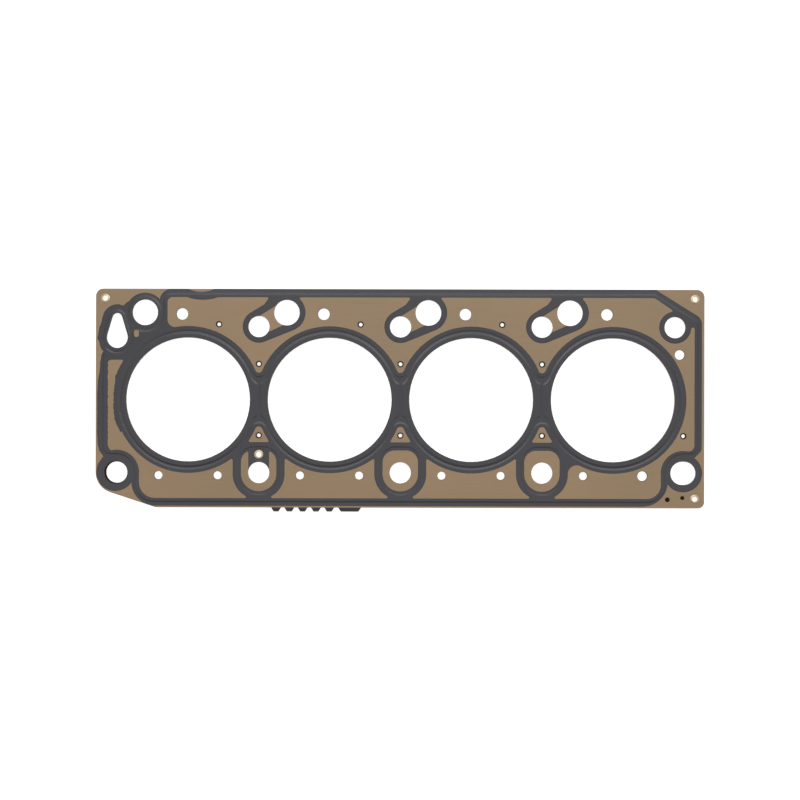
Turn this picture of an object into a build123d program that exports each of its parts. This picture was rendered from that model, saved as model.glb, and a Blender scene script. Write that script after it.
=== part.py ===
from build123d import *
import os
from math import atan2, cos, degrees, radians, sin, sqrt

# Cylinder head gasket of the multi-layer steel kind, for an engine with four cylinders in a row.
# Millimetres. X runs along the row of bores, +Y is the side of the oil passages, +Z faces the head.
# The origin is on the block side, at the middle of the row of bores.

# Cylinder row
BORE_COUNT = 4
BORE_R = 42.0
WEB_WIDTH = 12.0  # metal left between two bores
BORE_PITCH = 2 * BORE_R + WEB_WIDTH

# Thickness of each layer
SHEET_T = 0.25
SPACER_T = 0.8
STOPPER_T = 0.12
COAT_T = 0.05

# Full bead pressed round each bore, a shallow V in both outer sheets
BEAD_SETBACK = 4.2  # from the bore's edge to the bead's centre line
BEAD_HALF_WIDTH = 1.7
BEAD_H = 0.25
BEAD_TURN_ANGLE = 20.0  # where the bead leaves its circle, in degrees off the row's line
BEAD_BEND_OUT_R = 8.0
BEAD_BEND_IN_R = 2.5  # where it joins the next bore's bead in the middle of the web

# Outline of the sheets
LEFT_LAND = 20.5  # from the first bore's edge to the left edge
RIGHT_LAND = 20.0
TOP_LAND = 33.0
BOTTOM_LAND = 31.1
CORNER_R = 5.0
LOWER_RIGHT_CORNER_R = 4.0
NOSE_R = 14.3  # round the bolt hole at the lower left
NOSE_SLOPE = 18.2  # degrees, the cut-off edge between the nose and the long lower edge
SPACER_INSET = 0.3  # the spacer stays inside the outer sheets

# Head bolt holes. A pair of lengths is a place, measured in from the nearest two edges of the sheet.
BOLT_R = 7.2
BOLT_ROW_SETBACK = 7.5  # from the bores' edges to the rows of inner bolts
UPPER_LEFT_BOLT_IN = (14.4, 33.0)
UPPER_RIGHT_BOLT_IN = (19.9, 25.6)
LOWER_BOLTS_IN = (14.3, 23.7)
LOCATED_BOLT_CLEAR = 0.6  # the outer sheets clear the spacer's hole at the lower left
DOWEL_SLOT_R = 7.9
DOWEL_SLOT_PLAY = 1.4  # how much longer than wide the slot is
DRAIN_R = 3.5  # the oil drain that widens the upper left bolt hole to a pear
DRAIN_RISE = 13.0

# Oil passages beside the upper bolts
PASSAGE_R = 8.7
PASSAGE_ASIDE = 18.9  # from the middle of the web
PASSAGE_SETBACK = 17.0

# Coolant holes. A setback is measured from the bores' edges.
UPPER_COOLANT_R = 3.95
UPPER_COOLANT_ASIDE = -4.0
UPPER_COOLANT_SETBACK = 16.0
LOWER_COOLANT_R = 2.75
LOWER_COOLANT_ASIDE = 20.05
LOWER_COOLANT_SETBACK = 9.4
LAST_COOLANT_R = 3.3
END_COOLANT_R = 3.3
END_COOLANT_IN = (16.7, 44.1)
COOLANT_CLEAR = 0.2  # the outer sheets' holes are wider than the spacer's by this much

# Vent holes: wide in the outer sheets, with a small metering hole in the spacer
VENT_R = 2.15
METERING_R = 1.3
WEB_VENT_Y = 24.2
UPPER_VENT_ASIDE = 20.95
UPPER_VENT_SETBACK = 9.0
END_VENT_IN = 14.2

# Gauge holes in the head side sheet alone, in from the right and lower edges, with their radius
GAUGE_HOLES = [(24.9, 5.8, 1.65), (14.8, 7.0, 1.4)]

# Thickness marks on the edge of the spacer, placed from the second bore
MARK_COUNT = 5
MARK_PITCH = 9.03
MARK_ROOT = 6.7
MARK_TIP = 3.4
MARK_H = 2.75  # how far they stand out below the sheets
FIRST_MARK_ASIDE = -36.2
TAB_ROOT = 15.6
TAB_TIP = 11.9
TAB_ASIDE = 13.7

# Eyelets that hold the layers together, each in a dish pressed into both outer sheets
CORNER_EYELET_IN = 6.3
PAD_EYELET_RISE = 12.3  # from the lower bolt below it
EYELET_R = 2.2
EYELET_HOLE_R = 1.9
EYELET_HEAD_R = 3.0
EYELET_HEAD_T = 0.2
EYELET_FIT = 0.1  # clearance round the eyelet's tube
DISH_R = 4.3
DISH_FLOOR_R = 3.5

# Stopper rings, laid on the spacer inside the beads
STOPPER_SETBACK = 0.2
STOPPER_WIDTH = 2.0

# Printed elastomer coat
PRINT_PAST_BEAD = 3.6  # the band round each bore ends this far outside the bead's centre line
END_PRINT_MORE = 1.3  # the first bore's band is wider towards the end of the gasket
END_PRINT_DOWN = 22.0
WEB_TIP_R = 2.5
FIELD_TIP_R = 0.8
# Bends in the print's left edge, and the bare strip beside it. A pair is in from the sheet's left edge, then
# up from its lower edge or, where the name says so, down from its upper one.
NOSE_PRINT_SIDE = (5.3, 34.4)
END_PRINT_LOW = (1.0, 49.1)
END_PRINT_HIGH_DOWN = (1.0, 67.0)
PEAR_PRINT_SIDE_DOWN = (2.7, 54.4)
STRIP_DOWN = (8.2, 48.2)
FIRST_FIELD_DOWN = (48.6, 35.0)
TOP_BAND = 5.65
BOTTOM_BAND = 6.3
END_BOLT_BAND_R = 12.9
END_WRAP_R = 15.2
UPPER_BOLT_BAND_R = 11.0
UPPER_RIGHT_BAND_R = 10.9
PASSAGE_BAND_R = 12.7
DRAIN_BAND_R = 9.4
PEAR_BAND_R = 13.1
FIRST_PASSAGE_BAND_R = 13.3
LOOP_HALF_WIDTH = 17.6
LOOP_FOOT_R = 17.2
LOOP_BELOW_VENT = 4.6
LOOP_UP = 5.5  # from the lower edge
LOOP_BAND = 5.5
LOOP_FIELD_HALF_WIDTH = 12.0
LOOP_FIELD_CORNER_R = 8.0
EYELET_PAD_HALF_WIDTH = 7.0

# Heights of the layers, from the block upwards
SPACER_Z = SHEET_T + BEAD_H
SPACER_TOP_Z = SPACER_Z + SPACER_T
UPPER_Z = SPACER_TOP_Z + BEAD_H
COAT_Z = UPPER_Z + SHEET_T

# Places that follow from the sizes above
BORE_X = [(i - (BORE_COUNT - 1) / 2) * BORE_PITCH for i in range(BORE_COUNT)]
WEB_X = [x + BORE_PITCH / 2 for x in BORE_X[:-1]]
LEFT_X = BORE_X[0] - BORE_R - LEFT_LAND
RIGHT_X = BORE_X[-1] + BORE_R + RIGHT_LAND
TOP_Y = BORE_R + TOP_LAND
BOTTOM_Y = -BORE_R - BOTTOM_LAND
BOLT_ROW_Y = BORE_R + BOLT_ROW_SETBACK
UPPER_LEFT_BOLT = (LEFT_X + UPPER_LEFT_BOLT_IN[0], TOP_Y - UPPER_LEFT_BOLT_IN[1])
UPPER_RIGHT_BOLT = (RIGHT_X - UPPER_RIGHT_BOLT_IN[0], TOP_Y - UPPER_RIGHT_BOLT_IN[1])
LOWER_LEFT_BOLT = (LEFT_X + LOWER_BOLTS_IN[0], BOTTOM_Y + LOWER_BOLTS_IN[1])
LOWER_RIGHT_BOLT = (RIGHT_X - LOWER_BOLTS_IN[0], BOTTOM_Y + LOWER_BOLTS_IN[1])
PASSAGE_Y = BORE_R + PASSAGE_SETBACK
PASSAGE_X = [x - BORE_PITCH / 2 + PASSAGE_ASIDE for x in BORE_X]
EYELETS = [
    (LEFT_X + CORNER_EYELET_IN, TOP_Y - CORNER_EYELET_IN),
    (RIGHT_X - CORNER_EYELET_IN, TOP_Y - CORNER_EYELET_IN),
    (RIGHT_X - CORNER_EYELET_IN, BOTTOM_Y + CORNER_EYELET_IN),
    (WEB_X[0], -BOLT_ROW_Y + PAD_EYELET_RISE),
]
BEAD_R = BORE_R + BEAD_SETBACK
RING_R = BEAD_R + PRINT_PAST_BEAD
LOOP_TOP_Y = -WEB_VENT_Y - LOOP_BELOW_VENT
LOOP_BOTTOM_Y = BOTTOM_Y + LOOP_UP

ON_FLOOR = (Align.CENTER, Align.CENTER, Align.MIN)


def disc(x, y, radius):
    return Pos(x, y) * Circle(radius)


def box(left, bottom, right, top):
    return Pos((left + right) / 2, (bottom + top) / 2) * Rectangle(right - left, top - bottom)


def rounded(*corners):
    """A face from corners given as x, y and the radius that rounds them."""
    points = [(x, y) for x, y, radius in corners]
    return make_face(FilletPolyline(*points, radius=[c[2] for c in corners], close=True))


def belt(x1, y1, r1, x2, y2, r2):
    """The face inside a belt laid round two discs."""
    return make_hull([disc(x1, y1, r1).edge(), disc(x2, y2, r2).edge()])


# The sheets' flat shape


def outline():
    bolt_x, bolt_y = LOWER_LEFT_BOLT
    slope = sin(radians(NOSE_SLOPE)) / cos(radians(NOSE_SLOPE))
    touch_x = bolt_x - NOSE_R * sin(radians(NOSE_SLOPE))
    touch_y = bolt_y - NOSE_R * cos(radians(NOSE_SLOPE))
    return rounded(
        (LEFT_X, TOP_Y, CORNER_R),
        (RIGHT_X, TOP_Y, CORNER_R),
        (RIGHT_X, BOTTOM_Y, LOWER_RIGHT_CORNER_R),
        (touch_x + (touch_y - BOTTOM_Y) / slope, BOTTOM_Y, 0),
        (LEFT_X, touch_y + (touch_x - LEFT_X) * slope, NOSE_R),
    )


def bolt_holes(located_clear):
    x, y = UPPER_LEFT_BOLT
    pear = belt(x, y, BOLT_R, x, y + DRAIN_RISE, DRAIN_R)
    slot = Pos(*LOWER_RIGHT_BOLT) * SlotOverall(2 * DOWEL_SLOT_R + DOWEL_SLOT_PLAY, 2 * DOWEL_SLOT_R)
    located = disc(LOWER_LEFT_BOLT[0] - located_clear, LOWER_LEFT_BOLT[1], BOLT_R + located_clear)
    inner = [disc(x, side * BOLT_ROW_Y, BOLT_R) for x in WEB_X for side in (1, -1)]
    return [pear, slot, located, disc(*UPPER_RIGHT_BOLT, BOLT_R)] + inner


def coolant_holes(clear):
    upper_y = BORE_R + UPPER_COOLANT_SETBACK
    lower_y = -BORE_R - LOWER_COOLANT_SETBACK
    upper = [disc(x + UPPER_COOLANT_ASIDE, upper_y, UPPER_COOLANT_R + clear) for x in BORE_X]
    left = [disc(x - LOWER_COOLANT_ASIDE, lower_y, LOWER_COOLANT_R + clear) for x in BORE_X]
    right = [disc(x + LOWER_COOLANT_ASIDE, lower_y, LOWER_COOLANT_R + clear) for x in BORE_X[:-1]]
    last = disc(BORE_X[-1] + LOWER_COOLANT_ASIDE, lower_y, LAST_COOLANT_R + clear)
    end = disc(RIGHT_X - END_COOLANT_IN[0], TOP_Y - END_COOLANT_IN[1], END_COOLANT_R + clear)
    return upper + left + right + [last, end]


def vent_holes(radius):
    webs = [disc(x, side * WEB_VENT_Y, radius) for x in WEB_X for side in (1, -1)]
    upper = [disc(x + UPPER_VENT_ASIDE, BORE_R + UPPER_VENT_SETBACK, radius) for x in BORE_X[:-1]]
    return webs + upper + [disc(RIGHT_X - END_VENT_IN, -WEB_VENT_Y, radius)]


def shared_holes():
    """The holes that are alike in every layer."""
    bores = [disc(x, 0, BORE_R) for x in BORE_X]
    passages = [disc(x, PASSAGE_Y, PASSAGE_R) for x in PASSAGE_X]
    return bores + passages + [disc(x, y, EYELET_R + EYELET_FIT) for x, y in EYELETS]


def outer_holes():
    return shared_holes() + bolt_holes(LOCATED_BOLT_CLEAR) + coolant_holes(COOLANT_CLEAR) + vent_holes(VENT_R)


def spacer_holes():
    return shared_holes() + bolt_holes(0) + coolant_holes(0) + vent_holes(METERING_R)


def gauge_holes():
    return [disc(RIGHT_X - x, BOTTOM_Y + y, radius) for x, y, radius in GAUGE_HOLES]


# The bead, and the dishes for the eyelets


def bead_face(x, grow, web_on_left, web_on_right):
    """The area inside one bore's bead, up to its centre line or so far beyond it."""
    out_x = (BEAD_R + BEAD_BEND_OUT_R) * cos(radians(BEAD_TURN_ANGLE))
    out_y = (BEAD_R + BEAD_BEND_OUT_R) * sin(radians(BEAD_TURN_ANGLE))
    in_x = BORE_PITCH / 2 - BEAD_BEND_IN_R
    in_y = out_y - sqrt((BEAD_BEND_OUT_R + BEAD_BEND_IN_R) ** 2 - (out_x - in_x) ** 2)
    turn = degrees(atan2(out_y - in_y, out_x - in_x))
    start = BEAD_TURN_ANGLE if web_on_right else 0
    end = 180 - BEAD_TURN_ANGLE if web_on_left else 180
    crown = CenterArc((0, 0), BEAD_R + grow, start, end - start)
    edges = [crown, mirror(crown, Plane.XZ)]
    inward = CenterArc((in_x, in_y), BEAD_BEND_IN_R + grow, 0, turn)
    outward = CenterArc((out_x, out_y), BEAD_BEND_OUT_R - grow, 180 + BEAD_TURN_ANGLE, turn - BEAD_TURN_ANGLE)
    web_x = BORE_PITCH / 2 + grow
    web = Line((web_x, -in_y), (web_x, in_y))
    if web_on_right:
        edges += [inward, outward, mirror(inward, Plane.XZ), mirror(outward, Plane.XZ), web]
    if web_on_left:
        for edge in (inward, outward):
            turned = mirror(edge, Plane.YZ)
            edges += [turned, mirror(turned, Plane.XZ)]
        edges.append(mirror(web, Plane.YZ))
    return Pos(x, 0) * make_face(edges)


def web_floor(x):
    """Where two beads part, their groove keeps its depth up to a round flank about the tip of the field."""
    tip_y = sqrt((RING_R + WEB_TIP_R) ** 2 - (BORE_PITCH / 2) ** 2)
    rim_r = WEB_TIP_R + PRINT_PAST_BEAD - BEAD_HALF_WIDTH
    half = BORE_PITCH / 2
    between = extrude(Polygon((x, tip_y), (x - half, 0), (x, -tip_y), (x + half, 0), align=None), -BEAD_H)
    flank = Cone(rim_r + BEAD_HALF_WIDTH, rim_r, BEAD_H, align=(Align.CENTER, Align.CENTER, Align.MAX))
    return between - [Pos(x, tip_y) * flank, Pos(x, -tip_y) * flank]


def bead_groove():
    """The V of all four beads, joined in the webs, with its rim at height 0."""
    flank = degrees(atan2(BEAD_HALF_WIDTH, BEAD_H))
    groove = Part()
    plugs = []
    for i, x in enumerate(BORE_X):
        webs = (i > 0, i < BORE_COUNT - 1)
        groove += extrude(bead_face(x, BEAD_HALF_WIDTH, *webs), -BEAD_H, taper=flank)
        plugs.append(extrude(Pos(0, 0, -BEAD_H) * bead_face(x, 0, *webs), BEAD_H, taper=flank))
    for x in WEB_X:
        groove += web_floor(x)
    return groove - plugs


def dishes():
    dish = Cone(DISH_FLOOR_R, DISH_R, BEAD_H, align=(Align.CENTER, Align.CENTER, Align.MAX))
    return [Pos(x, y) * dish for x, y in EYELETS]


def press(sheet, tool, thickness):
    """Push a tool's shape down through a sheet whose underside is at height 0."""
    lowered = sheet + tool
    return lowered - Pos(0, 0, thickness) * tool


# The layers


def outer_sheet(tool, extra_holes=()):
    flat = outline() - outer_holes() - list(extra_holes)
    plate = press(extrude(flat, SHEET_T), tool, SHEET_T)
    # The eyelets' holes go through the floors of the dishes too
    bolts = [Pos(x, y, -BEAD_H) * Cylinder(EYELET_R + EYELET_FIT, SHEET_T + BEAD_H, align=ON_FLOOR) for x, y in EYELETS]
    return plate - bolts


def mark(x, root, tip):
    """One thickness mark, from inside the spacer's edge to its tip."""
    slope = (root - tip) / 2 / MARK_H
    inside = root / 2 + slope
    return Polygon(
        (x - inside, BOTTOM_Y + 1),
        (x - tip / 2, BOTTOM_Y - MARK_H),
        (x + tip / 2, BOTTOM_Y - MARK_H),
        (x + inside, BOTTOM_Y + 1),
        align=None,
    )


def spacer_sheet():
    first_x = BORE_X[1] + FIRST_MARK_ASIDE
    marks = [mark(first_x + i * MARK_PITCH, MARK_ROOT, MARK_TIP) for i in range(MARK_COUNT)]
    marks.append(mark(BORE_X[1] + TAB_ASIDE, TAB_ROOT, TAB_TIP))
    flat = offset(outline(), -SPACER_INSET) + marks
    return extrude(flat - spacer_holes(), SPACER_T)


def stopper_ring(x):
    inner_r = BORE_R + STOPPER_SETBACK
    return extrude(disc(x, 0, inner_r + STOPPER_WIDTH) - disc(x, 0, inner_r), STOPPER_T)


def eyelet():
    """A tube with a flat head at both ends, standing on the lower dish's floor."""
    bottom = SHEET_T - EYELET_HEAD_T
    top = UPPER_Z
    section = Polygon(
        (EYELET_HOLE_R, bottom),
        (EYELET_HEAD_R, bottom),
        (EYELET_HEAD_R, SHEET_T),
        (EYELET_R, SHEET_T),
        (EYELET_R, top),
        (EYELET_HEAD_R, top),
        (EYELET_HEAD_R, top + EYELET_HEAD_T),
        (EYELET_HOLE_R, top + EYELET_HEAD_T),
        align=None,
    )
    return revolve(Plane.XZ * section, Axis.Z)


# The printed coat


def printed_area():
    """Everything inside the outer edge of the print."""
    left_x, left_y = UPPER_LEFT_BOLT
    area = rounded(
        (LEFT_X + 43.0, TOP_Y + 0.2, 9),
        (RIGHT_X - 33.7, TOP_Y + 0.4, 2),
        (RIGHT_X - 1.7, TOP_Y - 19.5, 7),
        (RIGHT_X - 1.7, BOTTOM_Y + 39.1, 5),
        (RIGHT_X - 14.3, BOTTOM_Y + 26.1, 0),
        (RIGHT_X - 24.6, BOTTOM_Y + 20.1, 0),
        (RIGHT_X - 24.6, BOTTOM_Y + 1.05, 17),
        (LEFT_X + 24.2, BOTTOM_Y + 1.05, 16.2),
        (LEFT_X + 24.2, BOTTOM_Y + 20.1, 0),
        (LEFT_X + 14.3, BOTTOM_Y + 23.7, 0),
        (LEFT_X + NOSE_PRINT_SIDE[0], BOTTOM_Y + NOSE_PRINT_SIDE[1], 0),
        (LEFT_X + 2.6, BOTTOM_Y + 38.1, 2),
        (LEFT_X + END_PRINT_LOW[0], BOTTOM_Y + END_PRINT_LOW[1], 0),
        (LEFT_X + END_PRINT_HIGH_DOWN[0], TOP_Y - END_PRINT_HIGH_DOWN[1], 0),
        (LEFT_X + PEAR_PRINT_SIDE_DOWN[0], TOP_Y - PEAR_PRINT_SIDE_DOWN[1], 0),
        (LEFT_X + 4.7, TOP_Y - 43.5, 0),
        (LEFT_X + 14.4, TOP_Y - 33.0, 0),
        (LEFT_X + 33.4, TOP_Y - 16.0, 0),
        (LEFT_X + 43.0, TOP_Y - 13.0, 0),
    )
    bands = [
        disc(LEFT_X + 13.3, BOTTOM_Y + 24.1, 13.2),
        disc(*LOWER_RIGHT_BOLT, END_BOLT_BAND_R),
        disc(PASSAGE_X[0], PASSAGE_Y, FIRST_PASSAGE_BAND_R),
        belt(left_x, left_y, PEAR_BAND_R, left_x, left_y + DRAIN_RISE, DRAIN_BAND_R),
        between_end_holes(),
    ]
    return (area + bands) & outline()


def between_end_holes():
    """Print in the angle between the pear shaped hole and the first oil passage."""
    return Polygon(
        (LEFT_X + 26.5, TOP_Y - 20.0),
        (LEFT_X + 24.5, TOP_Y - 7.5),
        (LEFT_X + 21.0, TOP_Y - 9.2),
        (LEFT_X + 17.8, TOP_Y - 12.3),
        (LEFT_X + 14.5, TOP_Y - 13.0),
        align=None,
    )


def field_window():
    """The part of the print that holds bare fields, inside its edge bands."""
    top = TOP_Y - TOP_BAND
    bottom = BOTTOM_Y + BOTTOM_BAND
    bolt_y = LOWER_LEFT_BOLT[1]
    return rounded(
        (LEFT_X + FIRST_FIELD_DOWN[0], top, 3.4),
        (RIGHT_X - 33.8, top, 6),
        (RIGHT_X - 6.7, TOP_Y - 24.1, 0),
        (RIGHT_X - 6.7, bolt_y + 14.9, 4),
        (LOWER_RIGHT_BOLT[0], bolt_y + 14.9, 0),
        (LOWER_RIGHT_BOLT[0], bolt_y, 0),
        (RIGHT_X - 29.4, bolt_y, 0),
        (RIGHT_X - 29.4, bottom, 9.5),
        (LEFT_X + 29.4, bottom, 10.8),
        (LEFT_X + 29.4, bolt_y, 0),
        (LOWER_LEFT_BOLT[0], bolt_y, 0),
        (LOWER_LEFT_BOLT[0], bolt_y + 13.4, 0),
        (LEFT_X + STRIP_DOWN[0], bolt_y + 13.4, 6),
        (LEFT_X + STRIP_DOWN[0], TOP_Y - STRIP_DOWN[1], 2.4),
        (LEFT_X + 26.5, TOP_Y - STRIP_DOWN[1], 0),
        (LEFT_X + FIRST_FIELD_DOWN[0], TOP_Y - FIRST_FIELD_DOWN[1], 0),
    )


def web_print(x):
    """The print across a web, hollowed at both ends."""
    tip_y = sqrt((RING_R + WEB_TIP_R) ** 2 - (BORE_PITCH / 2) ** 2)
    half = tip_y - 0.9
    tip = WEB_TIP_R + 0.05
    return box(x - 3, -half, x + 3, half) - [disc(x, tip_y, tip), disc(x, -tip_y, tip)]


def field_round(x, side, radius, bore_x):
    """Rounds the corner of a field between an upright edge at x and a bore's band."""
    centre_x = x + radius
    centre_y = side * sqrt((RING_R + radius) ** 2 - (centre_x - bore_x) ** 2)
    touch_x = bore_x + (centre_x - bore_x) * RING_R / (RING_R + radius)
    corner = box(x - 1, min(centre_y, side * 30), touch_x - 0.1, max(centre_y, side * 30))
    return corner - disc(centre_x, centre_y, radius + 0.03)


def oil_print(x):
    """The band that goes round an inner bolt hole and the oil passage beside it."""
    band = belt(x, BOLT_ROW_Y, UPPER_BOLT_BAND_R, x + PASSAGE_ASIDE, PASSAGE_Y, PASSAGE_BAND_R)
    low = TOP_Y - TOP_BAND - 7.3
    high = TOP_Y - TOP_BAND + 0.7
    flare = Polygon((x + 12.0, low), (x + 14.0, high), (x + 7.6, high), (x + 3.2, low + 2), align=None)
    return [band, flare]


def oil_gap(x):
    """The bare strip between that bolt hole and its oil passage."""
    return Polygon(
        (x - 1.0, BOLT_ROW_Y + 6.3),
        (x + 13.0, BOLT_ROW_Y + 15.1),
        (x + 18.5, BOLT_ROW_Y + 1.85),
        (x + 4.0, BOLT_ROW_Y - 4.7),
        align=None,
    )


def upright(x, half, top, top_r, bottom, bottom_r):
    """A panel as wide on both sides of x, with its corners rounded."""
    return rounded(
        (x - half, bottom, bottom_r),
        (x + half, bottom, bottom_r),
        (x + half, top, top_r),
        (x - half, top, top_r),
    )


def loop_print(x):
    """The band round a lower bolt hole, with its middle still filled."""
    return upright(x, LOOP_HALF_WIDTH, LOOP_TOP_Y, 0, LOOP_BOTTOM_Y, LOOP_FOOT_R)


def loop_field(x):
    half = LOOP_FIELD_HALF_WIDTH
    return upright(x, half, LOOP_TOP_Y - LOOP_BAND, LOOP_FIELD_CORNER_R, LOOP_BOTTOM_Y + LOOP_BAND, half - 0.05)


def bare_fields():
    fields = field_window() - [disc(x, 0, RING_R) for x in BORE_X]
    end_side = box(LEFT_X, -END_PRINT_DOWN, BORE_X[0] - BORE_R, BORE_R)
    fields -= disc(BORE_X[0], 0, RING_R + END_PRINT_MORE) & end_side
    fields -= [web_print(x) for x in WEB_X]
    for x in WEB_X:
        fields -= oil_print(x)
    fields -= [loop_print(x) for x in WEB_X]
    fields -= [disc(*LOWER_LEFT_BOLT, END_WRAP_R), disc(*LOWER_RIGHT_BOLT, END_WRAP_R)]
    bolt_x, bolt_y = UPPER_RIGHT_BOLT
    fields -= [disc(bolt_x, bolt_y, UPPER_RIGHT_BAND_R), box(bolt_x, bolt_y - 0.1, RIGHT_X - 6.5, bolt_y + 12.6)]
    fields -= field_round(LEFT_X + FIRST_FIELD_DOWN[0], 1, 5, BORE_X[0])
    fields -= field_round(WEB_X[-1] + LOOP_HALF_WIDTH, -1, 5.9, BORE_X[-1])
    # The upper band sags a little over the first bore
    fields -= disc(BORE_X[0] + 9.9, TOP_Y + 24.4, 31.9)
    return fields


def blunt(fields, radius):
    """Round every pointed corner of the fields, with less where its edges are short."""
    faces = []
    for face in fields.faces():
        for vertex in face.vertices():
            point = Vector(vertex)
            angle, room = corner(face, point)
            if angle < 150:
                here = face.vertices().sort_by_distance(point)[0]
                face = face.fillet_2d(min(radius, room), [here])
        faces.append(face)
    return Sketch() + faces


def corner(face, point):
    """The angle between the two edges that meet at a point, and the radius that they leave room for."""
    leaving = []
    lengths = []
    for edge in face.edges():
        for end, sign in ((0, 1), (1, -1)):
            if (edge.position_at(end) - point).length < 1e-5:
                leaving.append(edge.tangent_at(end) * sign)
                lengths.append(edge.length)
    angle = leaving[0].get_angle(leaving[1])
    return angle, 0.45 * min(lengths) * sin(radians(angle / 2)) / cos(radians(angle / 2))


def coat_face():
    face = printed_area() - blunt(bare_fields(), FIELD_TIP_R)
    face -= [loop_field(x) for x in WEB_X[1:]]
    pad_x = WEB_X[0]
    pad = box(pad_x - EYELET_PAD_HALF_WIDTH, -BOLT_ROW_Y, pad_x + EYELET_PAD_HALF_WIDTH, LOOP_TOP_Y)
    face -= blunt(loop_field(pad_x) - pad, FIELD_TIP_R)
    face -= [oil_gap(x) for x in WEB_X]
    spot = Pos(LEFT_X + 27.5, TOP_Y - 30.4) * RectangleRounded(3.4, 4.7, 1.5)
    face -= [disc(BORE_X[0] + 8.9, TOP_Y + 18.7, 20.8), spot]
    face -= outer_holes()
    face -= [disc(x, y, DISH_R + EYELET_FIT) for x, y in EYELETS[:-1]]
    return face


def printed_coat(groove):
    """The coat goes down with the bead and with the dish on the pad, up to that eyelet's head."""
    x, y = EYELETS[-1]
    coat = press(extrude(coat_face(), COAT_T), groove + dishes()[-1:], COAT_T)
    return coat - Pos(x, y, -BEAD_H) * Cylinder(EYELET_HEAD_R + EYELET_FIT, BEAD_H + COAT_T, align=ON_FLOOR)


def save(node, shape):
    export_step(shape, os.path.join("parts", node + ".step"))


def build():
    groove = bead_groove()
    pressed = groove + dishes()
    upper = Pos(0, 0, UPPER_Z) * outer_sheet(pressed, gauge_holes())
    lower = Pos(0, 0, SHEET_T) * mirror(outer_sheet(pressed), Plane.XY)
    coat = Pos(0, 0, COAT_Z) * printed_coat(groove)
    save("upper_sheet", upper)
    save("upper_coating", coat)
    save("spacer_sheet", Pos(0, 0, SPACER_Z) * spacer_sheet())
    save("lower_sheet", lower)
    save("stopper_rings", Part() + [Pos(0, 0, SPACER_TOP_Z) * stopper_ring(x) for x in BORE_X])
    save("eyelets", Part() + [Pos(x, y) * eyelet() for x, y in EYELETS])


os.makedirs("parts", exist_ok=True)
build()
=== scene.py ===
# %% [markdown]
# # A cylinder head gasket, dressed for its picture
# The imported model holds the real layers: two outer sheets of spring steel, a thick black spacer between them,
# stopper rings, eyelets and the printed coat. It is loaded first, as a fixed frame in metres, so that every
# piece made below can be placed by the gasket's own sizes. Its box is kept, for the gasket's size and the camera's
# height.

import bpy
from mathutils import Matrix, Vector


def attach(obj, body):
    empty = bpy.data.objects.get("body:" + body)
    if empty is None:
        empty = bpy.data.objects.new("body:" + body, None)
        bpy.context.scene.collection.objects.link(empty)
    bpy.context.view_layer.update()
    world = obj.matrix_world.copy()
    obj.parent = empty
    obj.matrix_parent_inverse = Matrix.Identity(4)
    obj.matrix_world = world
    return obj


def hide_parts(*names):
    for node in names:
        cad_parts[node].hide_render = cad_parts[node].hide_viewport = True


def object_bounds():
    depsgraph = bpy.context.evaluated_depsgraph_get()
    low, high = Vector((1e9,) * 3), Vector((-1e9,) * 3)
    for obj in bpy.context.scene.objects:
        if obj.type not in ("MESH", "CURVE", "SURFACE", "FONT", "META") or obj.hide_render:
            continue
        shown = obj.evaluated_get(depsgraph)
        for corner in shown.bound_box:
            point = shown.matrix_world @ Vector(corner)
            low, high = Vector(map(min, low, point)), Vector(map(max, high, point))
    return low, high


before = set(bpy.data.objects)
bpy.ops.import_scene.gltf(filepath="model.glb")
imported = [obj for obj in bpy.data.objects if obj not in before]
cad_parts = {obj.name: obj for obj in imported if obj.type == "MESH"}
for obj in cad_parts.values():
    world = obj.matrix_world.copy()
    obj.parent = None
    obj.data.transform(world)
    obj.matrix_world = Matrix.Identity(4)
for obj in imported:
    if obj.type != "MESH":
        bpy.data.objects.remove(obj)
cad_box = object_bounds()
print("nodes:", ", ".join(sorted(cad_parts)))

# %% [markdown]
# Sizes on a drawing of a gasket are in millimetres, and Blender counts in metres. One factor turns one into
# the other, so the numbers below can be read as a maker would write them.

# %% Units and libraries
from math import atan2, cos, degrees, pi, radians, sin, tan

import bpy
import numpy as np
from mathutils import Vector

MM = 0.001
low, high = cad_box
print("the gasket measures", [round((b - a) / MM, 2) for a, b in zip(low, high)], "mm")

# %% [markdown]
# ## Colours
# A colour is picked on a screen as an sRGB hex value, but the renderer works with linear light. One function
# turns the first into the second. Each finish is named for how its surface was made.


# %% Colours of the finishes
def hex_to_linear(code):
    """A hex colour such as "A98B69" as linear red, green, blue and alpha."""
    channels = [int(code[i : i + 2], 16) / 255 for i in (0, 2, 4)]
    linear = [c / 12.92 if c <= 0.04045 else ((c + 0.055) / 1.055) ** 2.4 for c in channels]
    return (*linear, 1.0)


PRIMER_WARM = hex_to_linear("A98B69")
PRIMER_DULL = hex_to_linear("927D5E")
CUT_STEEL = hex_to_linear("A39A8C")
PRINT_GREY = hex_to_linear("3B3940")
PRINT_DARK = hex_to_linear("333237")
SPACER_BLACK = hex_to_linear("241F1B")
# painted sheen: the lighter grey of the spacer's open teeth stands in for the light they catch
SPACER_TEETH_SHEEN = hex_to_linear("454646")
RING_STEEL = hex_to_linear("B9B7B2")
EYELET_PLATE = hex_to_linear("CFC4A2")
EYELET_WARM = hex_to_linear("B9A27A")
FLOOR_PAPER = hex_to_linear("E8E8E8")
WHITE = (1, 1, 1, 1)
print("warm primer in linear light:", [round(c, 3) for c in PRIMER_WARM[:3]])

# %% [markdown]
# ## One helper for shader nodes
# A material is a small graph. This function adds one node, sets what it is given and joins its inputs, so that
# each material below reads from its pattern to its shader.


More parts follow.
